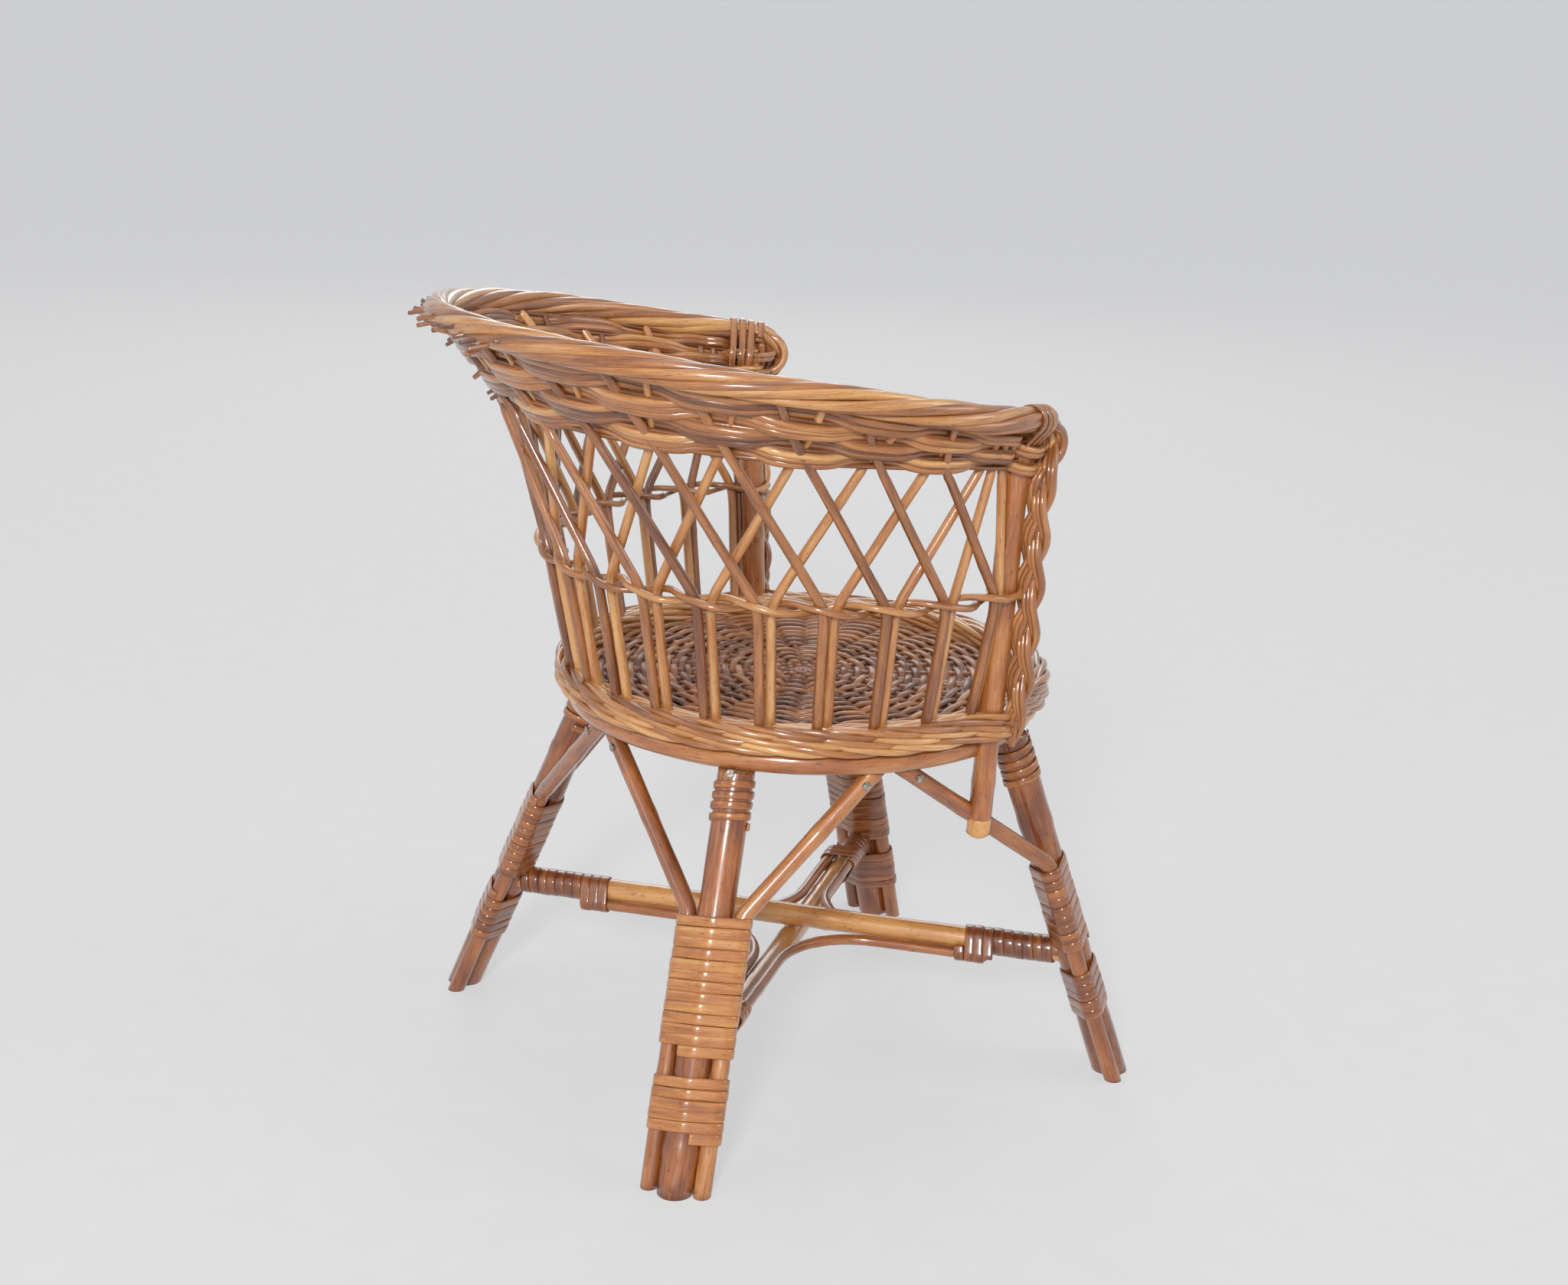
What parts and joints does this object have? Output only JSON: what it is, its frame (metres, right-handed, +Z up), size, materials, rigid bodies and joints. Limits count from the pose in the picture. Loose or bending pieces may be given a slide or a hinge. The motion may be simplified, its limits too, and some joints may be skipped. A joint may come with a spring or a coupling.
{
  "type": "child wicker armchair",
  "caption": "Low child's armchair of varnished willow: round woven seat on splayed bound stick legs with a crossed stretcher, and a flared basket back with a lattice",
  "frame": {"origin": "on the floor, under the middle of the part's box", "axes": "+Z up, the sitter faces -Y, the sitter's left is +X"},
  "size_m": [0.3556, 0.3638, 0.4305],
  "materials": {
    "frame_stick": "gloss varnished peeled stick",
    "stake_willow": "gloss varnished willow rod",
    "woven_willow": "gloss varnished woven willow",
    "rim_willow": "gloss varnished rolled and plaited willow",
    "binding_cane": "gloss varnished flat cane",
    "nail_steel": "plain nail head"
  },
  "bodies": {
    "root": {"brace_front_left_end": "frame_stick", "brace_front_left_side": "frame_stick", "brace_front_right_end": "frame_stick", "brace_front_right_side": "frame_stick", "brace_nails": "nail_steel", "brace_rear_left_end": "frame_stick", "brace_rear_left_side": "frame_stick", "brace_rear_right_end": "frame_stick", "brace_rear_right_side": "frame_stick", "braid_left": "rim_willow", "braid_right": "rim_willow", "leg_front_left": "frame_stick", "leg_front_left_arm_binding": "binding_cane", "leg_front_left_binding": "binding_cane", "leg_front_left_foot_binding": "binding_cane", "leg_front_left_top_binding": "binding_cane", "leg_front_right": "frame_stick", "leg_front_right_arm_binding": "binding_cane", "leg_front_right_binding": "binding_cane", "leg_front_right_foot_binding": "binding_cane", "leg_front_right_top_binding": "binding_cane", "leg_rear_left": "frame_stick", "leg_rear_left_arm_binding": "binding_cane", "leg_rear_left_binding": "binding_cane", "leg_rear_left_foot_binding": "binding_cane", "leg_rear_left_top_binding": "binding_cane", "leg_rear_right": "frame_stick", "leg_rear_right_arm_binding": "binding_cane", "leg_rear_right_binding": "binding_cane", "leg_rear_right_foot_binding": "binding_cane", "leg_rear_right_top_binding": "binding_cane", "post_left": "frame_stick", "post_right": "frame_stick", "rolled_rim": "rim_willow", "seat_border": "woven_willow", "seat_hoop": "frame_stick", "seat_panel": "woven_willow", "stakes_inner": "stake_willow", "stakes_outer": "stake_willow", "stretcher_1": "frame_stick", "stretcher_2": "frame_stick", "tie_front_left_front_right": "frame_stick", "tie_front_right_rear_right": "frame_stick", "tie_rear_left_front_left": "frame_stick", "tie_rear_right_rear_left": "frame_stick", "waist_inner": "woven_willow", "waist_outer": "woven_willow", "woven_band": "woven_willow"}
  },
  "joints": []
}
